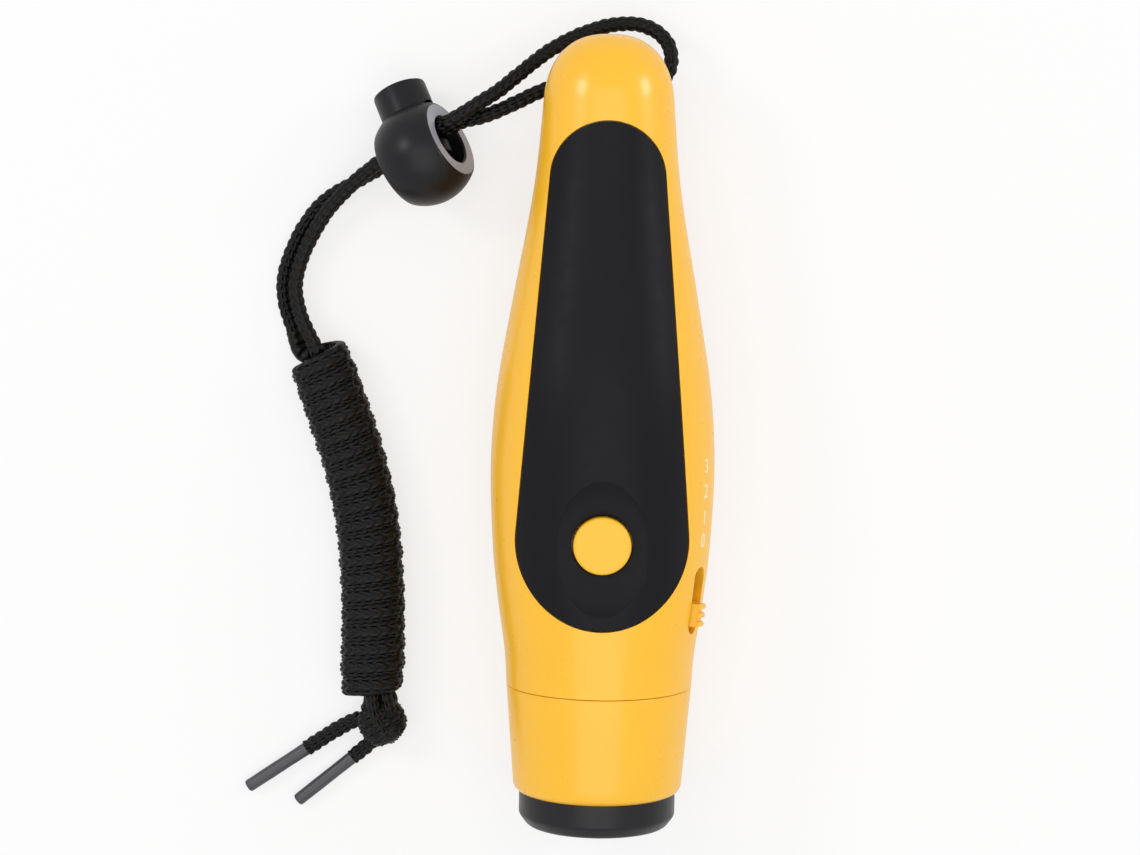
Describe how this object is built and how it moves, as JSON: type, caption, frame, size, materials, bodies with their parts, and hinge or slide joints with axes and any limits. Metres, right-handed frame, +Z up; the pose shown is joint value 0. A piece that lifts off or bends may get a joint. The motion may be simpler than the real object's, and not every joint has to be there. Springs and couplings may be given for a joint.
{
  "type": "electronic whistle",
  "caption": "Handheld electronic whistle with a thumb button, side tone selector, round sound head, battery door, and a braided wrist lanyard with a wound grip and a ball cord lock.",
  "frame": {"origin": "centre of the whistle's footprint on the surface it lies on, without the cord and what is on it", "axes": "+Y along the whistle from the mouth ring to the dome; +Z up, out of the grip panel and button; +X to the selector side"},
  "size_m": [0.0842, 0.1446, 0.034],
  "materials": {
    "body_orange": "moulded ABS, glossy",
    "soft_black": "fine satin moulding",
    "head_black": "satin moulding",
    "button_orange": "satin moulding",
    "lock_black": "satin moulding",
    "braid_black": "braided polyester",
    "tip_grey": "heat-shrunk sleeve, smooth",
    "bright_steel": "plated steel",
    "spring_steel": "spring wire",
    "brass_disc": "rolled sheet",
    "ceramic_grey": "silvered ceramic",
    "board_green": "solder mask on fibreglass",
    "component_black": "moulded epoxy",
    "inner_grey": "moulded plastic",
    "cell_sleeve": "printed sleeve, left plain",
    "coil_brown": "varnished winding on ferrite",
    "capacitor_blue": "shrink sleeve",
    "foam_grey": "closed-cell foam",
    "lead_red": "PVC insulation"
  },
  "bodies": {
    "whistle": {"front_shell": "body_orange", "back_shell": "body_orange", "grip_panel": "soft_black", "head_collar": "body_orange", "mouth_ring": "head_black", "sound_grille": "head_black", "tact_switch": "component_black", "selector_switch": "bright_steel", "battery_tray": "inner_grey", "cell_left": "cell_sleeve", "cell_right": "cell_sleeve", "contact_springs": "spring_steel", "contact_plates": "bright_steel", "circuit_board": "board_green", "controller_chip": "component_black", "boost_coil": "coil_brown", "storage_capacitor": "capacitor_blue", "driver_transistor": "component_black", "sound_horn": "inner_grey", "sounder_cup": "inner_grey", "piezo_disc": "brass_disc", "piezo_ceramic": "ceramic_grey", "foam_ring": "foam_grey", "shell_screws": "bright_steel", "board_screws": "bright_steel", "battery_leads": "lead_red", "sounder_leads": "lead_red", "lanyard_cord": "braid_black", "grip_core": "braid_black", "grip_wrap": "braid_black", "end_knot": "braid_black", "tail_cords": "braid_black", "tail_tips": "tip_grey", "lock_ball": "lock_black", "lock_spring": "spring_steel"},
    "button": {"push_button": "button_orange", "button_stem": "button_orange"},
    "selector": {"selector_knob": "button_orange", "selector_lever": "bright_steel"},
    "door": {"battery_door": "body_orange"},
    "plunger": {"lock_plunger": "lock_black"}
  },
  "joints": [
    {"name": "push_button", "type": "slide", "parent": "whistle", "child": "button", "axis": [0, 0, -1], "range_m": [0, 0.0008], "stiffness_N_per_m": 800, "springref_m": -0.001},
    {"name": "selector", "type": "slide", "parent": "whistle", "child": "selector", "axis": [0.108, 0.9942, 0], "range_m": [0, 0.0049]},
    {"name": "battery_door", "type": "hinge", "parent": "whistle", "child": "door", "pos_m": [0, 0.0206, 0.0021], "axis": [1, 0, 0], "range_deg": [0, 35]},
    {"name": "lock_plunger", "type": "slide", "parent": "whistle", "child": "plunger", "axis": [0.38, -0.8711, 0.311], "range_m": [0, 0.0035], "stiffness_N_per_m": 500, "springref_m": -0.004, "deforming": ["lock_spring"]}
  ]
}
